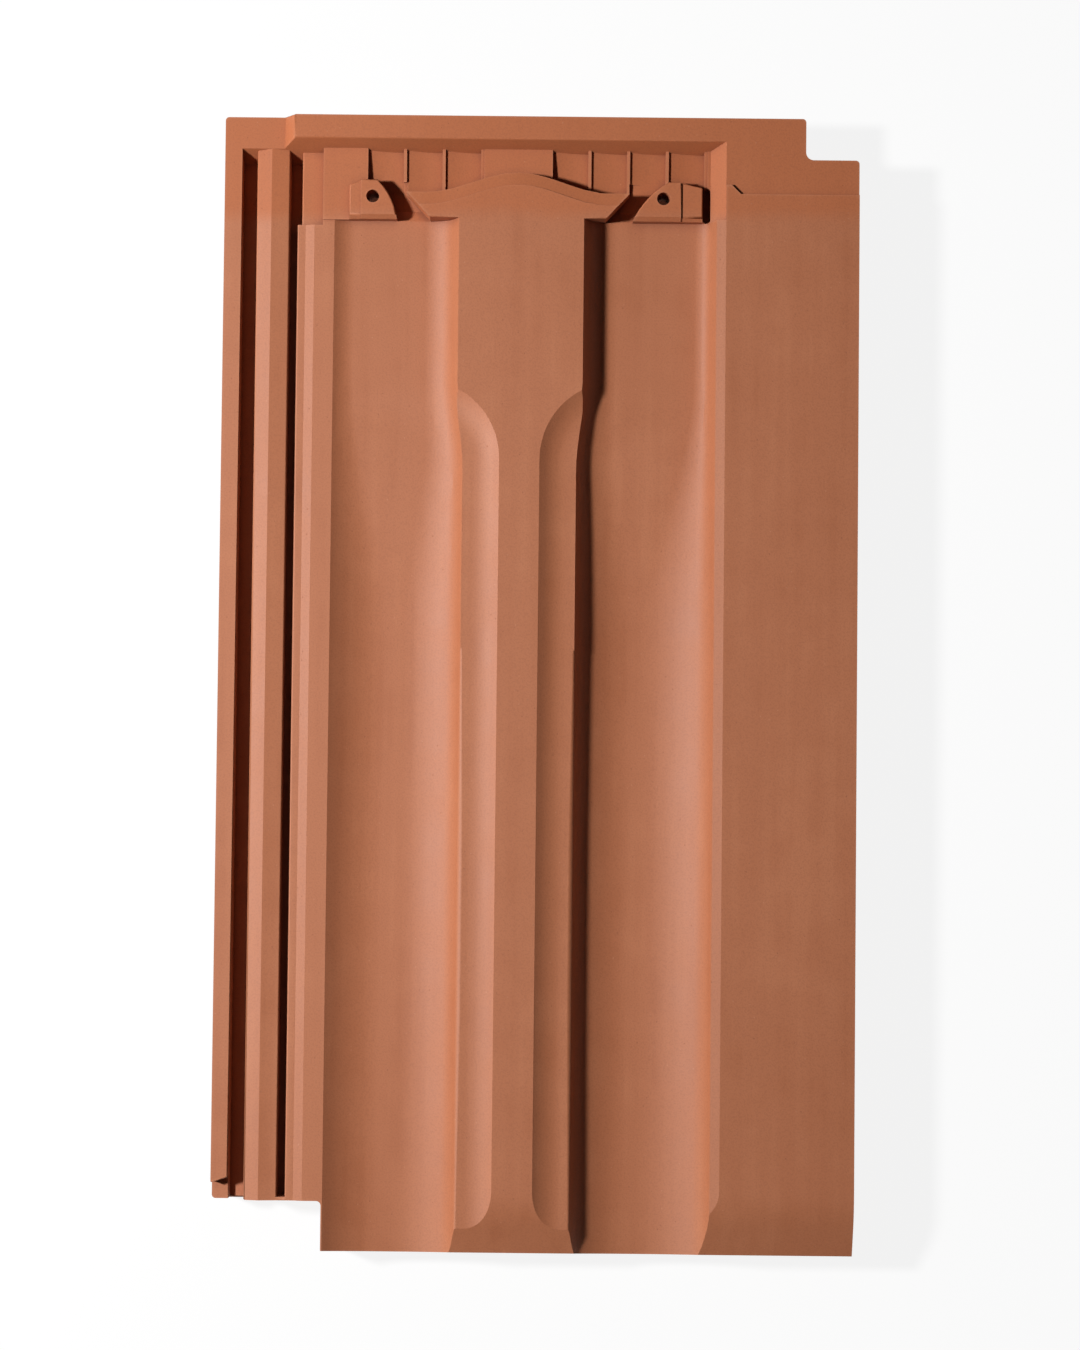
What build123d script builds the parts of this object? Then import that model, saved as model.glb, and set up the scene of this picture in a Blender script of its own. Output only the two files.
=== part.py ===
# Clay roof tile, fired as one piece. Millimetres, +X to the cover side, +Y to the head, +Z weather face up.
import os
from math import atan2, cos, degrees, hypot, radians, sin, tan

from build123d import *

os.makedirs("parts", exist_ok=True)

# Overall size and the laps with neighbouring tiles
tile_length = 435.0
tile_width = 244.0
side_lap = 42.5
head_lap = 39.5
fit_gap = 0.6
corner_radius = 1.4
over = 20.0
half_length = tile_length / 2
half_width = tile_width / 2
laying_width = tile_width - side_lap
laying_length = tile_length - head_lap
pan_end_y = half_length - head_lap

# Levels, added up from the floor
nib_height = 7.5
sheet = 10.5
pan_sink = 4.0
rib_rise = 9.5
lock_rise = 2.0
groove_depth = 8.5
block_rise = 2.8
lug_rise = 6.4
rim_drop = 1.3
lip_drop = 1.5
low_z = nib_height
trough_z = low_z + sheet
pan_z = trough_z + pan_sink
crest_z = pan_z + rib_rise
top_z = crest_z + over
lock_z = pan_z + lock_rise
groove_z = lock_z - groove_depth
block_z = pan_z + block_rise
lug_z = pan_z + lug_rise
rim_z = crest_z - rim_drop
lip_z = crest_z - lip_drop

# Side lock, from the left edge inwards
rib_one = 6.6
groove_one = 5.8
slope_run = 5.7
slope_drop = 1.3
rib_two = 7.0
rib_two_drop = 0.9
groove_two = 3.1
groove_two_spread = 1.6
groove_two_stop = 1.3
rib_three_drop = 0.8
step_foot_share = 0.22
step_top_share = 0.46
inner_strip = 4.5
strip_drop = 1.2
strip_start = 2.0
stub_near = 6.5
stub_far = 10.7
stub_rise = 3.0
rib_one_x = -half_width + rib_one
groove_one_x = rib_one_x + groove_one
slope_x = groove_one_x + slope_run
rib_two_x = slope_x + rib_two
groove_two_x = rib_two_x + groove_two
lock_x = -half_width + side_lap
strip_x = lock_x - inner_strip
slope_foot_z = lock_z - slope_drop
rib_three_z = lock_z - rib_three_drop
strip_z = rib_three_z - strip_drop
strip_y = pan_end_y - strip_start

# Cover flange and its rebate underneath
flange_wall = 7.5
cover_bevel_run = 3.6
cover_bevel_rise = 0.9
lap_gap = 1.0
rib_tip_gap = 2.2
rebate_x = half_width - side_lap - lap_gap
cover_x = rebate_x - flange_wall
cover_edge_x = cover_x - cover_bevel_run
rebate_z = lock_z + fit_gap

# Central rib
axis_offset = 3.1
head_half = 23.9
slim_half = 20.3
plateau_half = 7.7
cove_angle = 32.0
cove_radius = 20.0
cove_turn = 30.0
cove_start = 32.5
wall_angle = 65.0
axis_x = (lock_x + cover_x) / 2 - axis_offset

# Pans: each blends from a shallow head section to a trough
blend_start = 60.0
blend_length = 100.0
narrow_length = 36.0
blend_steps = 12
cover_angle = 70.0
bank_angle = 60.0
edge_run_head_share = 0.16
edge_run_trough_share = 0.404
rib_run_head_share = 0.13
rib_run_trough_share = 0.315
rib_broad_head_share = 0.118
rib_broad_trough_share = 0.278
rib_tight_head_share = 0.51
rib_tight_trough_share = 0.36
cover_run_head_share = 0.051
cover_run_trough_share = 0.37
cover_broad_head_share = 0.036
cover_broad_trough_share = 0.38
cover_tight_head_share = 0.39
cover_tight_trough_share = 0.56
blend_head_y = pan_end_y - blend_start
blend_tail_y = blend_head_y - blend_length
narrow_tail_y = blend_head_y - narrow_length
cove_end_y = blend_head_y - cove_start

# Tail
tail_roll = 25.2
roll_radius = 37.0
roll_angle = 22.0
tail_draft = 8.0
tail_step = 19.7
tail_step_gap = 0.5
tail_step_radius = 1.8
roll_start_y = -half_length + tail_roll
roll_drop = roll_radius * (1 - cos(radians(roll_angle)))
roll_drop += (tail_roll - roll_radius * sin(radians(roll_angle))) * tan(radians(roll_angle))
notch_left_x = lock_x - tail_step_gap
notch_left_y = -half_length + tail_step

# Head lock, set out from a line a little left of the rib axis
head_shift = 1.5
notch_width = 20.5
notch_length = 15.9
notch_radius = 3.0
rim_width = 8.9
rim_slope = 2.8
ramp_before = 2.1
ramp_after = 1.9
bank_run = 5.8
flute_margin = 1.2
fin = 1.2
recess_setback = 29.5
recess_inset = 5.5
recess_slant = 3.6
ogee_setback = 21.8
ogee_fall = 7.7
ogee_half_share = 0.2301
ogee_tip_share = 0.3927
facet_share = 0.2041
band_run = 5.0
band_step = 0.5
ridge_half = 13.2
left_flute_count = 3
right_flute_count = 4
flute_step = 0.8
flute_depth = 1.2
flute_fall_share = 0.083
notch_right_x = half_width - notch_width
notch_right_y = half_length - notch_length
rim_edge_y = half_length - rim_width
rim_foot_y = rim_edge_y - rim_slope
rim_low_x = rib_two_x - ramp_before
rim_high_x = rib_two_x + ramp_after
channel_right_x = cover_x - bank_run
recess_y = half_length - recess_setback
recess_x = cover_x + recess_inset
ogee_top_y = half_length - ogee_setback
ogee_low_y = ogee_top_y - ogee_fall
head_x = axis_x - head_shift
head_pan = axis_x - head_half - lock_x
ogee_half = head_half + ogee_half_share * head_pan
ogee_tip = head_half + ogee_tip_share * head_pan
facet_foot = head_half + facet_share * head_pan
flute_pitch = (channel_right_x - flute_margin - head_x - ridge_half) / right_flute_count

# Nail lugs
lug_setback = 24.5
lug_bevel_run = 1.5
lug_bevel_rise = 1.8
plate_step = 0.7
left_plate_outer_share = 0.7575
left_plate_top_share = 0.6265
left_plate_low_share = 0.4694
left_plate_bulge = 1.6
right_plate_outer_share = 0.8021
right_plate_top_share = 0.7057
right_plate_low_share = 0.4197
right_plate_bulge = 2.1
left_block_share = 0.8487
right_block_share = 0.9741
block_fall = 2.0
slot_radius = 1.0
left_pocket = 1.4
right_pocket = 0.6
pocket_run = 4.0
hole_setback = 31.0
hole_share = 0.6622
hole_radius = 2.5
lug_top_y = half_length - lug_setback
left_plate_outer = head_half + left_plate_outer_share * head_pan
right_plate_outer = head_half + right_plate_outer_share * head_pan
left_plate_top = head_half + left_plate_top_share * head_pan
left_plate_low = head_half + left_plate_low_share * head_pan
right_plate_top = head_half + right_plate_top_share * head_pan
right_plate_low = head_half + right_plate_low_share * head_pan
left_block = head_half + left_block_share * head_pan
right_block = head_half + right_block_share * head_pan
hole_reach = head_half + hole_share * head_pan
hole_y = half_length - hole_setback

# Underside
hollow_cover = 12.0
hollow_half = 14.5
hollow_stop = 10.0
nib_share = 0.596
nib_width = 28.0
nib_foot = 9.0
nib_root = 14.0
nib_setback = 22.5
tail_rib_foot = 8.0
tail_rib_root = 13.0
tail_rib_inset = 7.5
tail_rib_clear = 27.5
hollow_z = crest_z - hollow_cover
hollow_end_y = pan_end_y - hollow_stop
nib_reach = head_half + nib_share * head_pan
nib_y = half_length - nib_setback
tail_rib_y = (rim_foot_y + ogee_top_y) / 2 - laying_length


def mix(start, end, share):
    return start + (end - start) * share


def ease(share):
    held = min(max(share, 0), 1)
    return held * held * (3 - 2 * held)


def way(angle):
    return (cos(radians(angle)), sin(radians(angle)))


def trough_share(y):
    return ease((blend_head_y - y) / blend_length)


def crest_half(y):
    return mix(head_half, slim_half, ease((blend_head_y - y) / narrow_length))


# An arc that starts level: its angle and radius from its run and rise
def level_arc(run, rise):
    angle = 2 * degrees(atan2(rise, run))
    return angle, run / sin(radians(angle))


# Concave side of a pan: a broad arc, a tight arc and a straight wall up to the crest
class PanSide:
    def __init__(self, depth, run, broad_rise, tight_rise, steep):
        self.steep = steep
        self.switch, self.broad = level_arc(run, broad_rise)
        self.tight = tight_rise / (cos(radians(self.switch)) - cos(radians(steep)))
        tight_run = self.tight * (sin(radians(steep)) - sin(radians(self.switch)))
        self.run = run + tight_run + (depth - broad_rise - tight_rise) / tan(radians(steep))


def rib_side(y):
    trough = trough_share(y)
    depth = rib_rise + pan_sink * trough
    run = (axis_x - crest_half(y) - lock_x) * mix(rib_run_head_share, rib_run_trough_share, trough)
    broad_rise = depth * mix(rib_broad_head_share, rib_broad_trough_share, trough)
    tight_rise = depth * mix(rib_tight_head_share, rib_tight_trough_share, trough)
    return PanSide(depth, run, broad_rise, tight_rise, wall_angle)


def cover_side(y):
    trough = trough_share(y)
    depth = rib_rise - cover_bevel_rise + pan_sink * trough
    run = (cover_edge_x - axis_x - crest_half(y)) * mix(cover_run_head_share, cover_run_trough_share, trough)
    broad_rise = depth * mix(cover_broad_head_share, cover_broad_trough_share, trough)
    tight_rise = depth * mix(cover_tight_head_share, cover_tight_trough_share, trough)
    return PanSide(depth, run, broad_rise, tight_rise, cover_angle)


def left_pan_face(y):
    trough = trough_share(y)
    floor_z = pan_z - pan_sink * trough
    crest_x = axis_x - crest_half(y)
    rib = rib_side(y)
    flat_x = crest_x - rib.run
    edge_run = (crest_x - lock_x) * mix(edge_run_head_share, edge_run_trough_share, trough)
    edge_angle, edge_radius = level_arc(edge_run, lock_z - floor_z)
    with BuildSketch(Plane.XZ.offset(-y)) as face:
        with BuildLine():
            edge = JernArc((lock_x, lock_z), way(-edge_angle), edge_radius, edge_angle)
            Line(edge @ 1, (flat_x, floor_z))
            foot = JernArc((flat_x, floor_z), way(0), rib.broad, rib.switch)
            rise = JernArc(foot @ 1, way(rib.switch), rib.tight, rib.steep - rib.switch)
            wall_top_x = crest_x + over / tan(radians(rib.steep))
            Polyline(rise @ 1, (wall_top_x, top_z), (lock_x, top_z), (lock_x, lock_z))
        make_face()
    return face.sketch


def right_pan_face(y):
    floor_z = pan_z - pan_sink * trough_share(y)
    crest_x = axis_x + crest_half(y)
    rib = rib_side(y)
    cover = cover_side(y)
    flat_x = crest_x + rib.run
    far_x = cover_edge_x - cover.run
    edge_z = crest_z - cover_bevel_rise
    with BuildSketch(Plane.XZ.offset(-y)) as face:
        with BuildLine():
            near = JernArc((flat_x, floor_z), way(180), rib.broad, -rib.switch)
            rise = JernArc(near @ 1, way(180 - rib.switch), rib.tight, rib.switch - rib.steep)
            Line((flat_x, floor_z), (far_x, floor_z))
            far = JernArc((far_x, floor_z), way(0), cover.broad, cover.switch)
            climb = JernArc(far @ 1, way(cover.switch), cover.tight, cover.steep - cover.switch)
            near_top_x = crest_x - over / tan(radians(rib.steep))
            Polyline(rise @ 1, (near_top_x, top_z), (cover_x, top_z), (cover_x, crest_z), (cover_edge_x, edge_z), climb @ 1)
        make_face()
    return face.sketch


stations = []
for step in range(blend_steps + 1):
    stations.append(mix(blend_head_y, blend_tail_y, step / blend_steps))

# Pan cutters: plain at the head, blended to a trough, plain to the tail
with BuildPart() as left_pan:
    loft([left_pan_face(y) for y in stations])
    extrude(left_pan_face(blend_head_y), amount=blend_head_y - pan_end_y)
    extrude(left_pan_face(blend_tail_y), amount=blend_tail_y + half_length + over)

with BuildPart() as right_pan:
    loft([right_pan_face(y) for y in stations])
    extrude(right_pan_face(blend_head_y), amount=blend_head_y - pan_end_y)
    extrude(right_pan_face(blend_tail_y), amount=blend_tail_y + half_length + over)

# Cove along one shoulder of the rib, turned outwards at its head end
with BuildPart() as cove:
    inner_x = axis_x + plateau_half
    outer_x = inner_x + cove_turn - fit_gap
    with BuildSketch(Plane.XZ.offset(-cove_end_y)) as cove_face:
        with BuildLine():
            hollow = JernArc((inner_x, crest_z), way(-cove_angle), cove_radius, cove_angle)
            floor_line = Line(hollow @ 1, (outer_x, (hollow @ 1).Y))
            Polyline(floor_line @ 1, (outer_x, top_z), (inner_x, top_z), hollow @ 0)
        make_face()
    extrude(amount=cove_end_y + half_length + over)
    turn_axis = Axis((inner_x + cove_turn, cove_end_y, 0), (0, 0, 1))
    revolve(cove_face.sketch, axis=turn_axis, revolution_arc=-90)


# Ogee line of the rib head, drawn as a closed region on its head side
def ogee_region(setback):
    with BuildSketch() as region:
        with BuildLine():
            points = []
            steps = 16
            for step in range(steps + 1):
                across = mix(-ogee_half, ogee_half, step / steps)
                fall = (1 - cos(radians(180 * across / ogee_half))) / 2
                points.append((head_x + across, mix(ogee_top_y, ogee_low_y, fall) - setback))
            crown = Spline(points, tangents=[(1, 0), (1, 0)])
            right = Line(crown @ 1, (head_x + ogee_tip + over, (crown @ 1).Y))
            left = Line(crown @ 0, (head_x - ogee_tip - over, (crown @ 0).Y))
            far_y = half_length + over
            Polyline(left @ 1, ((left @ 1).X, far_y), ((right @ 1).X, far_y), right @ 1)
        make_face()
    return region.sketch


# Everything on the tail side of the sloped wall under the rim
with BuildPart() as behind_rim:
    lean = rim_slope / (rim_z - block_z)
    with BuildSketch(Plane.YZ):
        with BuildLine():
            Polyline(
                (-half_length - over, 0),
                (rim_foot_y - block_z * lean, 0),
                (rim_foot_y + (top_z - block_z) * lean, top_z),
                (-half_length - over, top_z),
                (-half_length - over, 0),
            )
        make_face()
    extrude(amount=tile_width, both=True)

# The rib head and its two wings stand in the channel
with BuildPart() as rib_head:
    with BuildSketch():
        with BuildLine():
            wing_y = pan_end_y - over
            Polyline(
                (head_x - ogee_tip, ogee_low_y),
                (head_x - ogee_tip, half_length),
                (head_x + ogee_tip, half_length),
                (head_x + ogee_tip, ogee_low_y),
                (head_x + facet_foot, pan_end_y),
                (head_x + facet_foot, wing_y),
                (head_x - facet_foot, wing_y),
                (head_x - facet_foot, pan_end_y),
                (head_x - ogee_tip, ogee_low_y),
            )
        make_face()
    extrude(amount=top_z)
    extrude(ogee_region(0), amount=top_z, mode=Mode.SUBTRACT)

# Head channel: its right wall is a bank, its head wall the slope under the rim
with BuildPart() as channel:
    with BuildSketch(Plane.XZ.offset(-half_length)):
        with BuildLine():
            Polyline(
                (strip_x, block_z),
                (channel_right_x, block_z),
                (cover_x, rim_z),
                (cover_x, top_z),
                (strip_x, top_z),
                (strip_x, block_z),
            )
        make_face()
    extrude(amount=half_length - pan_end_y)
    add(behind_rim.part, mode=Mode.INTERSECT)
    add(rib_head.part, mode=Mode.SUBTRACT)

# Band cut along the ogee, falling from the crest to its lip
with BuildPart() as band:
    with BuildSketch(Plane.XY.offset(lip_z)):
        add(ogee_region(0))
    with BuildSketch(Plane.XY.offset(crest_z - band_step)):
        add(ogee_region(band_run))
    loft()
    with BuildSketch(Plane.XY.offset(crest_z - band_step)):
        add(ogee_region(band_run))
    extrude(amount=over)
    add(behind_rim.part, mode=Mode.INTERSECT)


# A bank of flutes in the channel floor, thin fins between them, all falling towards the tail
def flute_bank(start_x, count, end_y):
    flute_width = flute_pitch - fin
    floor_z = block_z - flute_step - flute_depth
    angle, radius = level_arc(flute_width, flute_depth)
    run = rim_edge_y - end_y
    fall = run * flute_fall_share
    with BuildPart() as bank:
        with BuildSketch(Plane.XZ.offset(-rim_edge_y)):
            for number in range(count):
                left_x = start_x + flute_pitch * number
                with BuildLine():
                    arc = JernArc((left_x + flute_width, floor_z), way(180), radius, -angle)
                    Polyline(arc @ 1, (left_x, top_z), (left_x + flute_width, top_z), arc @ 0)
                make_face()
            with Locations((start_x + flute_pitch * count / 2, (block_z + top_z) / 2)):
                Rectangle(flute_pitch * count, top_z - block_z)
        extrude(amount=hypot(run, fall), dir=(0, -run, -fall))
        add(behind_rim.part, mode=Mode.INTERSECT)
        add(rib_head.part, mode=Mode.SUBTRACT)
    return bank.part


# Inner edge of a nail plate, an arc from its top to its foot, side is -1 or 1
def plate_edge(side, top, low, bulge):
    start = (head_x + side * top, lug_top_y)
    middle = (head_x + side * ((top + low) / 2 - bulge), (lug_top_y + pan_end_y) / 2)
    return start, middle, (head_x + side * low, pan_end_y)


# Everything under the bevelled front of a lug of one height
def lug_front(height_z):
    with BuildPart() as front:
        with BuildSketch(Plane.YZ):
            with BuildLine():
                Polyline(
                    (pan_end_y, low_z),
                    (pan_end_y, height_z - lug_bevel_rise),
                    (pan_end_y + lug_bevel_run, height_z),
                    (half_length, height_z),
                    (half_length, low_z),
                    (pan_end_y, low_z),
                )
            make_face()
        extrude(amount=tile_width, both=True)
    return front.part


def nail_plate(side, outer, top, low, bulge):
    with BuildPart() as plate:
        with BuildSketch(Plane.XY.offset(low_z)):
            with BuildLine():
                start, middle, end = plate_edge(side, top, low, bulge)
                ThreePointArc(start, middle, end)
                outer_x = head_x + side * outer
                Polyline(end, (outer_x, pan_end_y), (outer_x, lug_top_y), start)
            make_face()
        extrude(amount=top_z)
        add(lug_front(lug_z), mode=Mode.INTERSECT)
    return plate.part


def lug_block(side, inner, outer):
    near_x = head_x + side * (inner - fit_gap)
    far_x = head_x + side * outer
    with BuildPart() as block:
        with BuildSketch(Plane.XY.offset(low_z)):
            with BuildLine():
                Polyline(
                    (near_x, pan_end_y),
                    (far_x, pan_end_y),
                    (far_x, lug_top_y - block_fall),
                    (near_x, lug_top_y),
                    (near_x, pan_end_y),
                )
            make_face()
        extrude(amount=top_z)
        add(lug_front(lug_z - plate_step), mode=Mode.INTERSECT)
    return block.part


# Drain passage between a nail plate and the rib head, from the flutes down to the pan
def passage(side, top, low, bulge, pocket):
    with BuildPart() as cut:
        with BuildSketch():
            with BuildLine():
                start, middle, end = plate_edge(side, top, low, bulge)
                ThreePointArc(start, middle, end)
                Polyline(
                    end,
                    (head_x + side * facet_foot, pan_end_y),
                    (head_x + side * ogee_tip, ogee_low_y),
                    (head_x + side * ogee_tip, lug_top_y),
                    start,
                )
            make_face()
        extrude(amount=top_z)
        with BuildSketch(Plane.YZ):
            with BuildLine():
                Polyline(
                    (pan_end_y, pan_z),
                    (pan_end_y + pocket_run, pan_z - pocket),
                    (lug_top_y, pan_z),
                    (lug_top_y, top_z),
                    (pan_end_y, top_z),
                    (pan_end_y, pan_z),
                )
            make_face()
        extrude(amount=tile_width, both=True, mode=Mode.INTERSECT)
    return cut.part


# Side lock: everything over its ribs, then its two grooves and the strip beside the head channel
with BuildPart() as side_lock:
    with BuildSketch(Plane.XY.offset(lock_z)):
        with BuildLine():
            Polyline(
                (-half_width - over, -half_length - over),
                (lock_x, -half_length - over),
                (lock_x, pan_end_y),
                (strip_x, pan_end_y),
                (strip_x, half_length),
                (-half_width - over, half_length),
                (-half_width - over, -half_length - over),
            )
        make_face()
    extrude(amount=top_z - lock_z)
    with BuildSketch(Plane.XZ.offset(-half_length)):
        with BuildLine():
            Polyline(
                (rib_one_x, top_z),
                (rib_one_x, groove_z),
                (groove_one_x, groove_z),
                (groove_one_x, slope_foot_z),
                (slope_x, lock_z),
                (rib_two_x, lock_z - rib_two_drop),
                (groove_two_x, rib_three_z),
                (mix(groove_two_x, lock_x, step_foot_share), rib_three_z),
                (mix(groove_two_x, lock_x, step_top_share), lock_z),
                (mix(groove_two_x, lock_x, step_top_share), top_z),
                (rib_one_x, top_z),
            )
        make_face()
    extrude(amount=tile_length + over)
    with BuildSketch(Plane.XY.offset(groove_z)):
        groove_end_y = notch_left_y + groove_two_stop
        with Locations((mix(rib_two_x, groove_two_x, 1 / 2), mix(groove_end_y, half_length, 1 / 2))):
            Rectangle(groove_two, half_length - groove_end_y)
        spread_x = groove_two_x + groove_two_spread
        with Locations((mix(rib_two_x, spread_x, 1 / 2), mix(strip_y, half_length, 1 / 2))):
            Rectangle(spread_x - rib_two_x, half_length - strip_y)
    extrude(amount=top_z - groove_z)
    with BuildSketch(Plane.XY.offset(strip_z)):
        with Locations((mix(rib_two_x, strip_x, 1 / 2), mix(strip_y, half_length, 1 / 2))):
            Rectangle(strip_x - rib_two_x, half_length - strip_y)
    extrude(amount=top_z - strip_z)
    add(behind_rim.part, mode=Mode.INTERSECT)

with BuildPart() as roof_tile:
    # Blank in plan with its two notches
    with BuildSketch(Plane.XY.offset(low_z)):
        with BuildLine():
            FilletPolyline(
                (-half_width, notch_left_y),
                (-half_width, half_length),
                (notch_right_x, half_length),
                (notch_right_x, notch_right_y),
                (half_width, notch_right_y),
                (half_width, -half_length),
                (notch_left_x, -half_length),
                (notch_left_x, notch_left_y),
                radius=[corner_radius] * 3 + [notch_radius] + [corner_radius] * 3 + [tail_step_radius],
                close=True,
            )
        make_face()
    extrude(amount=crest_z - low_z)

    # Pans and the hollow shoulders of the rib
    add(left_pan.part, mode=Mode.SUBTRACT)
    add(right_pan.part, mode=Mode.SUBTRACT)
    add(cove.part, mode=Mode.SUBTRACT)
    add(cove.part.mirror(Plane.YZ.offset(axis_x)), mode=Mode.SUBTRACT)

    # Recessed head of the cover and the rim
    with BuildSketch(Plane.XY.offset(rim_z)):
        with BuildLine():
            slant_x = recess_x - recess_slant
            slant_y = recess_y + recess_slant
            Polyline(
                (half_width + over, recess_y),
                (recess_x, recess_y),
                (slant_x, slant_y),
                (cover_x, slant_y),
                (cover_x, ogee_top_y),
                (-half_width - over, ogee_top_y),
                (-half_width - over, half_length + over),
                (half_width + over, half_length + over),
                (half_width + over, recess_y),
            )
        make_face()
    extrude(amount=over, mode=Mode.SUBTRACT)

    # Head channel with its flutes, round the rib head
    add(channel.part, mode=Mode.SUBTRACT)
    left_start_x = head_x - ridge_half - flute_pitch * left_flute_count
    add(flute_bank(left_start_x, left_flute_count, pan_end_y + pocket_run), mode=Mode.SUBTRACT)
    add(flute_bank(head_x + ridge_half, right_flute_count, ogee_low_y), mode=Mode.SUBTRACT)
    add(band.part, mode=Mode.SUBTRACT)

    # Nail lugs and the passages beside them
    add(nail_plate(-1, left_plate_outer, left_plate_top, left_plate_low, left_plate_bulge))
    add(nail_plate(1, right_plate_outer, right_plate_top, right_plate_low, right_plate_bulge))
    add(lug_block(-1, left_plate_outer, left_block))
    add(lug_block(1, right_plate_outer, right_block))
    add(passage(-1, left_plate_top, left_plate_low, left_plate_bulge, left_pocket), mode=Mode.SUBTRACT)
    add(passage(1, right_plate_top, right_plate_low, right_plate_bulge, right_pocket), mode=Mode.SUBTRACT)
    with BuildSketch(Plane.XY.offset(pan_z)):
        slot_x = head_x + right_block
        slot_y = lug_top_y - block_fall
        with Locations((mix(slot_x, channel_right_x, 1 / 2), mix(pan_end_y, slot_y, 1 / 2))):
            RectangleRounded(channel_right_x - slot_x, slot_y - pan_end_y, slot_radius)
    extrude(amount=over, mode=Mode.SUBTRACT)

    # Ramp at the left end of the rim, side lock, cut-back end of its outer rib
    with BuildSketch(Plane.XZ.offset(-half_length - over)):
        with BuildLine():
            Polyline(
                (-half_width - over, lock_z),
                (rim_low_x, lock_z),
                (rim_high_x, rim_z),
                (rim_high_x, top_z),
                (-half_width - over, top_z),
                (-half_width - over, lock_z),
            )
        make_face()
    extrude(amount=half_length + over - pan_end_y, mode=Mode.SUBTRACT)
    add(side_lock.part, mode=Mode.SUBTRACT)
    with BuildSketch(Plane.XY.offset(groove_z + stub_rise)):
        with BuildLine():
            Polyline(
                (-half_width - over, notch_left_y + stub_near),
                (-half_width, notch_left_y + stub_near),
                (groove_one_x, notch_left_y + stub_far),
                (groove_one_x, -half_length),
                (-half_width - over, -half_length),
                (-half_width - over, notch_left_y + stub_near),
            )
        make_face()
    extrude(amount=over, mode=Mode.SUBTRACT)

    # Tail rolled down over the high parts, its end face drawn back above the pans
    with BuildSketch(Plane.YZ.offset(lock_x)):
        with BuildLine():
            roll = JernArc((roll_start_y, crest_z), way(180), roll_radius, roll_angle)
            end_y = -half_length - over
            end_z = (roll @ 1).Y - ((roll @ 1).X - end_y) * tan(radians(roll_angle))
            Polyline(roll @ 1, (end_y, end_z), (end_y, top_z), (roll_start_y, top_z), roll @ 0)
        make_face()
    extrude(amount=tile_width, mode=Mode.SUBTRACT)
    with BuildSketch(Plane.YZ):
        with BuildLine():
            drawn_y = -half_length + (top_z - trough_z) * tan(radians(tail_draft))
            Polyline(
                (-half_length, trough_z),
                (drawn_y, top_z),
                (-half_length - over, top_z),
                (-half_length - over, trough_z),
                (-half_length, trough_z),
            )
        make_face()
    extrude(amount=tile_width, both=True, mode=Mode.SUBTRACT)

    # Underside: sheet under the pans, hollow under the rib, rebate under the cover
    with BuildSketch(Plane.YZ):
        with BuildLine():
            Polyline(
                (blend_tail_y, low_z),
                (blend_head_y, pan_z - sheet),
                (half_length + over, pan_z - sheet),
                (half_length + over, low_z),
                (blend_tail_y, low_z),
            )
        make_face()
    extrude(amount=tile_width, both=True, mode=Mode.SUBTRACT)
    with BuildSketch(Plane.XZ.offset(-hollow_end_y)):
        with BuildLine():
            flare = (hollow_z - low_z + over) / tan(radians(wall_angle))
            Polyline(
                (axis_x - hollow_half, hollow_z),
                (axis_x + hollow_half, hollow_z),
                (axis_x + hollow_half + flare, low_z - over),
                (axis_x - hollow_half - flare, low_z - over),
                (axis_x - hollow_half, hollow_z),
            )
        make_face()
    extrude(amount=hollow_end_y + half_length + over, mode=Mode.SUBTRACT)
    rebate_end_y = notch_left_y - fit_gap
    with BuildSketch(Plane.XZ.offset(-half_length - over)):
        with BuildLine():
            spread = (rebate_z - low_z + over) / tan(radians(bank_angle))
            tip_left_x = rib_one_x + laying_width + fit_gap
            tip_right_x = groove_one_x + laying_width - fit_gap
            tip_z = groove_z + rib_tip_gap
            shoulder_x = slope_x + laying_width - fit_gap
            Polyline(
                (rebate_x, rebate_z),
                (tip_left_x, rebate_z),
                (tip_left_x, tip_z),
                (tip_right_x, tip_z),
                (tip_right_x, slope_foot_z + fit_gap),
                (shoulder_x, rebate_z),
                (half_width + over, rebate_z),
                (half_width + over, low_z - over),
                (rebate_x - spread, low_z - over),
                (rebate_x, rebate_z),
            )
        make_face()
    extrude(amount=half_length + over - rebate_end_y, mode=Mode.SUBTRACT)
    with BuildSketch(Plane.XZ.offset(-rebate_end_y)):
        with BuildLine():
            tail_z = rebate_z - roll_drop
            tail_x = rebate_x - roll_drop / tan(radians(bank_angle))
            tail_spread = (tail_z - low_z + over) / tan(radians(bank_angle))
            Polyline(
                (tail_x, tail_z),
                (half_width + over, tail_z),
                (half_width + over, low_z - over),
                (tail_x - tail_spread, low_z - over),
                (tail_x, tail_z),
            )
        make_face()
    extrude(amount=rebate_end_y + half_length + over, mode=Mode.SUBTRACT)

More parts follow.
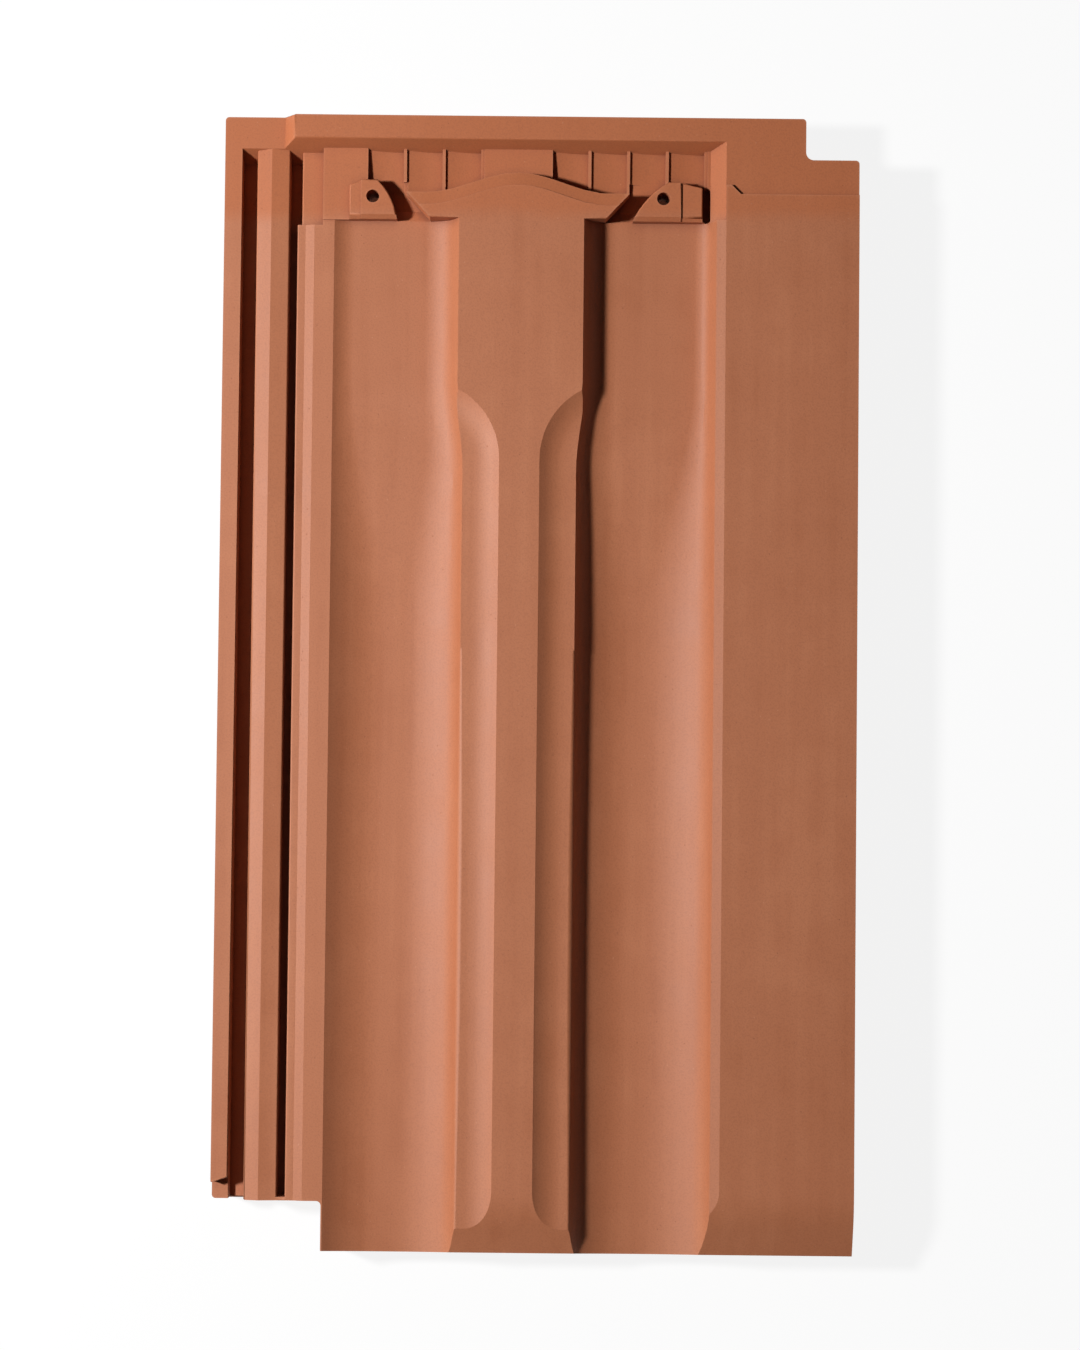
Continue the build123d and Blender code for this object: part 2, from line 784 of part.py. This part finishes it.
    # Hanging nibs at the head and the drip rib at the tail
    for side in (-1, 1):
        with BuildSketch(Plane.YZ.offset(axis_x + side * nib_reach - nib_width / 2)):
            with BuildLine():
                Polyline(
                    (nib_y, 0),
                    (nib_y + nib_foot, 0),
                    (nib_y + nib_root, pan_z - sheet + fit_gap),
                    (nib_y, pan_z - sheet + fit_gap),
                    (nib_y, 0),
                )
            make_face()
        extrude(amount=nib_width)
    rib_spans = (
        (lock_x + tail_rib_inset, axis_x - tail_rib_clear),
        (axis_x + tail_rib_clear, cover_x - tail_rib_inset),
    )
    for start, end in rib_spans:
        with BuildSketch(Plane.YZ.offset(start)):
            with BuildLine():
                Polyline(
                    (tail_rib_y - tail_rib_foot / 2, 0),
                    (tail_rib_y + tail_rib_foot / 2, 0),
                    (tail_rib_y + tail_rib_root / 2, low_z + fit_gap),
                    (tail_rib_y - tail_rib_root / 2, low_z + fit_gap),
                    (tail_rib_y - tail_rib_foot / 2, 0),
                )
            make_face()
        extrude(amount=end - start)

    # Nail holes
    with BuildSketch():
        with Locations((head_x - hole_reach, hole_y), (head_x + hole_reach, hole_y)):
            Circle(hole_radius)
    extrude(amount=crest_z, mode=Mode.SUBTRACT)

roof_tile.part.label = "roof_tile"
export_step(roof_tile.part, "parts/roof_tile.step")
print("solids", len(roof_tile.part.solids()), "volume", round(roof_tile.part.volume))
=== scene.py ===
import math

import bmesh
import bpy
from mathutils import Matrix, Vector


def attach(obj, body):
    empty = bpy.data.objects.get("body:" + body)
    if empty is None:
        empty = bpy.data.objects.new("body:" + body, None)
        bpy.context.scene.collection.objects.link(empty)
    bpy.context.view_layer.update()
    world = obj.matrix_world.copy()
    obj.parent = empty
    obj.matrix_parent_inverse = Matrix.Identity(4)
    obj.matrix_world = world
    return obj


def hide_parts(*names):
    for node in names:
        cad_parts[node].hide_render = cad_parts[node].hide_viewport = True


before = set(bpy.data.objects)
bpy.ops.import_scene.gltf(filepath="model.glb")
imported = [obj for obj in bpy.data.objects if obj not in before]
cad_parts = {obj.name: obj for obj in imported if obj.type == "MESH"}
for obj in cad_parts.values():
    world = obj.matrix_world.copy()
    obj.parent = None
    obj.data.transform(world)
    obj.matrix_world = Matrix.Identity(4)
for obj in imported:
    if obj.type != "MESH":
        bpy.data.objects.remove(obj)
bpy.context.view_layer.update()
scene = bpy.context.scene
scene.view_settings.view_transform = "Standard"
print("frame loaded", list(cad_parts))


# sockets that add, take away and multiply
class Wire:
    def __init__(self, bench, socket):
        self.bench = bench
        self.socket = socket

    def calc(self, operation, *values):
        made = self.bench.make("ShaderNodeMath", {"operation": operation}, dict(enumerate(values)))
        return made["Value"]

    def __add__(self, other):
        return self.calc("ADD", self, other)

    def __radd__(self, other):
        return self.calc("ADD", other, self)

    def __sub__(self, other):
        return self.calc("SUBTRACT", self, other)

    def __rsub__(self, other):
        return self.calc("SUBTRACT", other, self)

    def __mul__(self, other):
        return self.calc("MULTIPLY", self, other)

    def __rmul__(self, other):
        return self.calc("MULTIPLY", other, self)


class Made:
    def __init__(self, bench, node):
        self.bench = bench
        self.node = node

    def __getitem__(self, name):
        return Wire(self.bench, self.node.outputs[name])


class Bench:
    def __init__(self, tree):
        self.tree = tree
        self.tree.nodes.clear()

    def make(self, kind, settings=None, sockets=None):
        node = self.tree.nodes.new(kind)
        for name, value in (settings or {}).items():
            setattr(node, name, value)
        for name, value in (sockets or {}).items():
            if isinstance(value, Wire):
                self.tree.links.new(value.socket, node.inputs[name])
            else:
                node.inputs[name].default_value = value
        return Made(self, node)


# the fired clay: satin slip over a sandy body, with painted shade darkening the hollows, paler along the
# rubbed edges
clay = {
    "deep": (0.403, 0.132, 0.055, 1.0),
    "body": (0.432, 0.147, 0.064, 1.0),
    "pale": (0.461, 0.163, 0.073, 1.0),
    "rubbed": (0.54, 0.22, 0.118, 1.0),
    # soot for burnt grains and specks, and also the colour of the painted shade in the hollows
    "soot": (0.17, 0.048, 0.023, 1.0),
    "sand": (0.6, 0.3, 0.18, 1.0),
    "raw": (0.43, 0.118, 0.036, 1.0),
    # scale and detail of each noise
    "cloud": (13.0, 3.0),
    "mottle": (75.0, 4.0),
    "streak": (160.0, 3.0),
    "grain": (1500.0, 2.0),
    "noiseMean": 0.5,
    "streakStretch": (1.0, 0.035, 1.0),
    # how far each one sets the tone, and where the tones change over
    "cloudShare": 0.35,
    "mottleShare": 0.25,
    "streakShare": 0.4,
    "bodyTone": (0.36, 0.5),
    "paleTone": (0.5, 0.64),
    # the bare head lock, along Y
    "headRise": (0.1755, 0.1835),
    "headWander": 0.006,
    "headShare": 0.7,
    # grains of sand
    "speckScale": 620.0,
    "speckRim": (0.075, 0.24),
    "speckPick": (0.94, 0.98),  # few cells hold a grain
    "sandShare": 0.25,
    "burntShare": 0.35,
    "grainRise": (0.42, 0.7),
    "grainShare": 0.16,
    # wear, and painted shade in the hollows
    "nearSamples": 4,
    "edgeReach": 0.0016,
    "edgeWander": 0.35,
    "edgeRise": (0.2, 0.75),
    "edgeWear": 0.55,
    "hollowReach": 0.0045,
    "hollowRise": (0.1, 0.62),
    "hollowSoot": 0.72,
    # sheen
    "roughness": 0.6,
    "headRoughness": 0.7,
    "roughSpread": 0.1,
    "edgeRough": 0.12,
    "hollowRough": 0.1,
    "burntRough": 0.1,
    "gloss": 0.52,
    # relief
    "grainHeight": 0.3,
    "mottleHeight": 0.3,
    "streakHeight": 0.25,
    "sandHeight": 0.12,
    "burntDepth": 0.35,
    "bumpDepth": 0.00022,
    "bumpStrength": 0.55,
}


def makeClay():
    material = bpy.data.materials.new("terracotta")
    material.use_nodes = True
    bench = Bench(material.node_tree)
    place = bench.make("ShaderNodeTexCoord")["Object"]

    def noise(name, vector=place):
        scale, detail = clay[name]
        sockets = {"Vector": vector, "Scale": scale, "Detail": detail}
        return bench.make("ShaderNodeTexNoise", None, sockets)["Fac"]

    def span(value, name):
        low, high = clay[name]
        sockets = {"Value": value, "From Min": low, "From Max": high}
        return bench.make("ShaderNodeMapRange", {"interpolation_type": "SMOOTHSTEP"}, sockets)["Result"]

    def blend(share, under, over):
        return bench.make("ShaderNodeMix", {"data_type": "RGBA"}, {0: share, 6: under, 7: over})[2]

    def near(reach, inside):
        settings = {"inside": inside, "only_local": True, "samples": clay["nearSamples"]}
        return 1.0 - bench.make("ShaderNodeAmbientOcclusion", settings, {"Distance": reach})["AO"]

    # soft clouds, kiln mottle and the long marks of the press
    cloud = noise("cloud")
    mottle = noise("mottle")
    stretch = {"Vector": place, "Scale": clay["streakStretch"]}
    streak = noise("streak", bench.make("ShaderNodeMapping", None, stretch)["Vector"])
    grain = noise("grain")
    wander = mottle - clay["noiseMean"]
    tone = cloud * clay["cloudShare"] + mottle * clay["mottleShare"] + streak * clay["streakShare"]
    colour = blend(span(tone, "bodyTone"), clay["deep"], clay["body"])
    colour = blend(span(tone, "paleTone"), colour, clay["pale"])

    # bare head lock, redder and rougher than the slip
    heading = bench.make("ShaderNodeSeparateXYZ", None, {"Vector": place})["Y"]
    head = span(heading + wander * clay["headWander"], "headRise")
    colour = blend(head * clay["headShare"], colour, clay["raw"])

    # grains of sand, some pale and some burnt dark
    cells = bench.make("ShaderNodeTexVoronoi", None, {"Vector": place, "Scale": clay["speckScale"]})
    pick = bench.make("ShaderNodeSeparateColor", None, {"Color": cells["Color"]})
    dot = 1.0 - span(cells["Distance"], "speckRim")
    paleDot = dot * span(pick["Red"], "speckPick")
    darkDot = dot * span(pick["Green"], "speckPick")
    colour = blend(paleDot * clay["sandShare"], colour, clay["sand"])
    colour = blend(darkDot * clay["burntShare"], colour, clay["soot"])
    colour = blend(span(grain, "grainRise") * clay["grainShare"], colour, clay["soot"])

    # painted shade in the hollows, wear on the edges
    edge = span(near(clay["edgeReach"], True) + wander * clay["edgeWander"], "edgeRise")
    hollow = span(near(clay["hollowReach"], False), "hollowRise")
    # darkening the hollows toward the soot colour is painted shade, not dirt
    colour = blend(hollow * clay["hollowSoot"], colour, clay["soot"])
    colour = blend(edge * clay["edgeWear"], colour, clay["rubbed"])

    rough = clay["roughness"] + head * (clay["headRoughness"] - clay["roughness"])
    rough = rough + wander * clay["roughSpread"] + edge * clay["edgeRough"]
    rough = rough + hollow * clay["hollowRough"] + darkDot * clay["burntRough"]
    height = grain * clay["grainHeight"] + mottle * clay["mottleHeight"] + streak * clay["streakHeight"]
    height = height + paleDot * clay["sandHeight"] - darkDot * clay["burntDepth"]
    bump = bench.make("ShaderNodeBump", None, {
        "Strength": clay["bumpStrength"],
        "Distance": clay["bumpDepth"],
        "Height": height,
    })
    shader = bench.make("ShaderNodeBsdfPrincipled", None, {
        "Base Color": colour,
        "Roughness": rough,
        "Specular IOR Level": clay["gloss"],
        "Normal": bump["Normal"],
    })
    bench.make("ShaderNodeOutputMaterial", None, {"Surface": shader["BSDF"]})
    return material


# the tile itself, a softened copy of the CAD solid
tile = {
    "mergeGap": 0.00001,
    "flatAngle": 0.6,  # degrees, as are the next two
    "edgeAngle": 11.5,
    "softAngle": 35.0,
    "softShare": 0.375,  # of the crest radius, on other long edges
    "softLength": 0.0025,
    "softRoom": 0.0016,
    "sideways": 0.5,
    "inLine": 0.75,  # cosine
    "crestRadius": 0.0016,  # the rib's long edges are rubbed rounder
    "steps": 8,
    "crestX": ((-0.034, -0.02), (0.01, 0.0185)),
    "crestLow": 0.0272,
    "crestStraight": 0.95,
    "crestCuts": 27,
    "crestRun": (-0.204, 0.016),  # straight stretch along Y
    "crestTaper": 0.08,
    "crestSplit": 0.02,
    "crestLeast": 0.375,  # as wide as the other edges
}


def isSharp(edge):
    return edge.calc_face_angle(0.0) > math.radians(tile["edgeAngle"])


def isCrest(edge):
    first, second = (corner.co for corner in edge.verts)
    run = second - first
    middle = (first + second) / 2
    return (
        edge.is_convex
        and isSharp(edge)
        and abs(run.y) > tile["crestStraight"] * run.length
        and min(first.z, second.z) > tile["crestLow"]
        and any(low < middle.x < high for low, high in tile["crestX"])
    )


# full rounding along the straight stretches, running out at their ends
def crestShare(edge):
    along = (edge.verts[0].co.y + edge.verts[1].co.y) / 2
    low, high = tile["crestRun"]
    inside = min(along - low, high - along)
    share = min(max(inside / tile["crestTaper"], 0.0), 1.0)
    return tile["crestLeast"] + (1.0 - tile["crestLeast"]) * share if share > 0.0 else 0.0


def wayOut(edge, corner):
    return (edge.other_vert(corner).co - corner.co).normalized()


# long outer edges with room beside them for a rounding
def isSoft(edge):
    first, second = (corner.co for corner in edge.verts)
    length = (second - first).length
    turn = edge.calc_face_angle(0.0)
    if not edge.is_convex or turn < math.radians(tile["softAngle"]) or length < tile["softLength"]:
        return False
    along = (second - first).normalized()
    for face in edge.link_faces:
        for corner in face.verts:
            if corner in edge.verts:
                continue
            off = corner.co - first
            run = off.dot(along)
            gap = (off - along * min(max(run, 0.0), length)).length
            if (off - along * run).length > tile["sideways"] * gap and gap < tile["softRoom"]:
                return False
    # no edge that folds back beside it
    return not any(
        other is not edge and wayOut(other, corner).dot(wayOut(edge, corner)) > tile["inLine"]
        for corner in edge.verts
        for other in corner.link_edges
    )


# a rounding goes on along a sharp edge, or isn't started
def wholeRuns(chosen):
    dropped = True
    while dropped:
        dropped = {
            edge
            for edge in chosen
            for corner in edge.verts
            for other in corner.link_edges
            if isSharp(other)
            and other not in chosen
            and wayOut(other, corner).dot(wayOut(edge, corner)) < -tile["inLine"]
        }
        chosen = chosen - dropped
    return chosen


def makeTile(node):
    shape = bmesh.new()
    shape.from_mesh(node.data)
    bmesh.ops.remove_doubles(shape, verts=shape.verts, dist=tile["mergeGap"])
    flat = math.radians(tile["flatAngle"])
    bmesh.ops.dissolve_limit(shape, angle_limit=flat, verts=shape.verts, edges=shape.edges)
    longEdges = [edge for edge in shape.edges if isCrest(edge) and edge.calc_length() > tile["crestSplit"]]
    bmesh.ops.bisect_edges(shape, edges=longEdges, cuts=tile["crestCuts"])
    weight = shape.edges.layers.float.new("bevel_weight_edge")
    softEdges = wholeRuns({edge for edge in shape.edges if isSoft(edge) and not isCrest(edge)})
    print("soft edges", len(softEdges), sum(edge.calc_length() for edge in softEdges))
    for edge in shape.edges:
        if isCrest(edge):
            edge[weight] = crestShare(edge)
        elif edge in softEdges:
            edge[weight] = tile["softShare"]
        edge.smooth = not isSharp(edge)
    for face in shape.faces:
        face.smooth = True
    mesh = bpy.data.meshes.new("tileBody")
    shape.to_mesh(mesh)
    shape.free()
    piece = bpy.data.objects.new("tileBody", mesh)
    scene.collection.objects.link(piece)
    rounding = piece.modifiers.new("rubbedEdges", "BEVEL")
    rounding.width = tile["crestRadius"]
    rounding.segments = tile["steps"]
    rounding.limit_method = "WEIGHT"
    rounding.use_clamp_overlap = False
    rounding.harden_normals = True
    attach(piece, "root")
    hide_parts("roof_tile")
    return piece


tileBody = makeTile(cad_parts["roof_tile"])
tileBody.data.materials.append(makeClay())
print("tile made", len(tileBody.data.polygons))


# rays that look at the background: straight, mirrored or through
def seenRays(bench):
    path = bench.make("ShaderNodeLightPath")
    seen = path["Is Camera Ray"]
    for kind in ("Is Glossy Ray", "Is Transmission Ray"):
        seen = seen.calc("MAXIMUM", seen, path[kind])
    return seen


# pale floor, white to the camera
floor = {
    "size": 9.0,
    "height": -0.0002,
    "colour": (0.9, 0.9, 0.9, 1.0),
    "glow": (1.0, 1.0, 1.0, 1.0),
    "lift": 0.88,
    "fadeFrom": 0.32,  # the shadow lies nearer than this
    "whiteBeyond": 0.8,
    "holeMiddle": -0.00885,
    "holeReach": 0.05585,
    "holeAlong": 0.1865,
    "holeShade": 0.009,
}


def makeFloor():
    mesh = bpy.data.meshes.new("floor")
    shape = bmesh.new()
    bmesh.ops.create_grid(shape, x_segments=1, y_segments=1, size=floor["size"])
    shape.to_mesh(mesh)
    shape.free()
    piece = bpy.data.objects.new("floor", mesh)
    piece.location.z = floor["height"]
    scene.collection.objects.link(piece)
    material = bpy.data.materials.new("paleFloor")
    material.use_nodes = True
    bench = Bench(material.node_tree)
    paint = bench.make("ShaderNodeBsdfDiffuse", None, {"Color": floor["colour"]})
    glow = bench.make("ShaderNodeEmission", None, {"Color": floor["glow"], "Strength": 1.0})
    spot = bench.make("ShaderNodeTexCoord")["Object"]
    part = bench.make("ShaderNodeSeparateXYZ", None, {"Vector": spot})
    # no glow under the nail holes, so they stay dark
    aside = part["X"].calc("ABSOLUTE", part["X"] - floor["holeMiddle"])
    covered = aside.calc("COMPARE", aside, floor["holeReach"], floor["holeShade"])
    covered = covered * part["Y"].calc("COMPARE", part["Y"], floor["holeAlong"], floor["holeShade"])
    away = bench.make("ShaderNodeVectorMath", {"operation": "LENGTH"}, {0: spot})["Value"]
    far = bench.make("ShaderNodeMapRange", {"interpolation_type": "SMOOTHSTEP"}, {
        "Value": away,
        "From Min": floor["fadeFrom"],
        "From Max": floor["whiteBeyond"],
        "To Min": floor["lift"],
    })["Result"]
    share = seenRays(bench) * (1.0 - covered) * far
    mix = bench.make("ShaderNodeMixShader", None, {0: share, 1: paint["BSDF"], 2: glow["Emission"]})
    bench.make("ShaderNodeOutputMaterial", None, {"Surface": mix["Shader"]})
    mesh.materials.append(material)


makeFloor()
print("floor made")


# one soft lamp high on the left, little light from elsewhere
light = {
    "place": (-0.84, 0.09, 0.88),
    "aim": (0.0, 0.0, 0.02),
    "size": 0.13,
    "watts": 19.8,
    "roomColour": (1.0, 0.98, 0.96, 1.0),
    "ambient": 0.014,
    "wallColour": (1.0, 1.0, 1.0, 1.0),
    "paleBelow": 0.15,
    "dimAbove": 0.6,
}


def makeLight():
    lamp = bpy.data.lights.new("keyLamp", "AREA")
    lamp.shape = "DISK"
    lamp.size = light["size"]
    lamp.energy = light["watts"]
    holder = bpy.data.objects.new("keyLamp", lamp)
    holder.location = light["place"]
    aim = Vector(light["aim"]) - Vector(light["place"])
    holder.rotation_euler = aim.to_track_quat("-Z", "Y").to_euler()
    scene.collection.objects.link(holder)
    world = bpy.data.worlds.new("room")
    scene.world = world
    world.use_nodes = True
    bench = Bench(world.node_tree)
    dim = bench.make("ShaderNodeBackground", None, {
        "Color": light["roomColour"],
        "Strength": light["ambient"],
    })
    white = bench.make("ShaderNodeBackground", None, {"Color": light["wallColour"], "Strength": 1.0})
    # white walls, dim ceiling
    toward = bench.make("ShaderNodeTexCoord")["Generated"]
    ceiling = bench.make("ShaderNodeMapRange", None, {
        "Value": bench.make("ShaderNodeSeparateXYZ", None, {"Vector": toward})["Z"],
        "From Min": light["paleBelow"],
        "From Max": light["dimAbove"],
    })["Result"]
    share = seenRays(bench) * (1.0 - ceiling)
    mix = bench.make("ShaderNodeMixShader", None, {0: share, 1: dim["Background"], 2: white["Background"]})
    bench.make("ShaderNodeOutputWorld", None, {"Surface": mix["Shader"]})


makeLight()


# straight above, a little from the tail, turned by half a degree
view = {
    "target": (0.0014, 0.0032, 0.024),
    "distance": 1.1,
    "tilt": 2.3,
    "turn": 0.58,
    "lens": 76.6,
    "sensor": 36.0,
}


def makeCamera():
    lens = bpy.data.cameras.new("camera")
    lens.lens = view["lens"]
    lens.sensor_width = view["sensor"]
    lens.sensor_fit = "AUTO"
    camera = bpy.data.objects.new("camera", lens)
    turn = Matrix.Rotation(math.radians(view["turn"]), 4, "Z")
    turned = turn @ Matrix.Rotation(math.radians(view["tilt"]), 4, "X")
    back = turned @ Vector((0.0, 0.0, view["distance"]))
    camera.matrix_world = Matrix.Translation(Vector(view["target"]) + back) @ turned
    scene.collection.objects.link(camera)
    scene.camera = camera


makeCamera()
print("light and camera set")
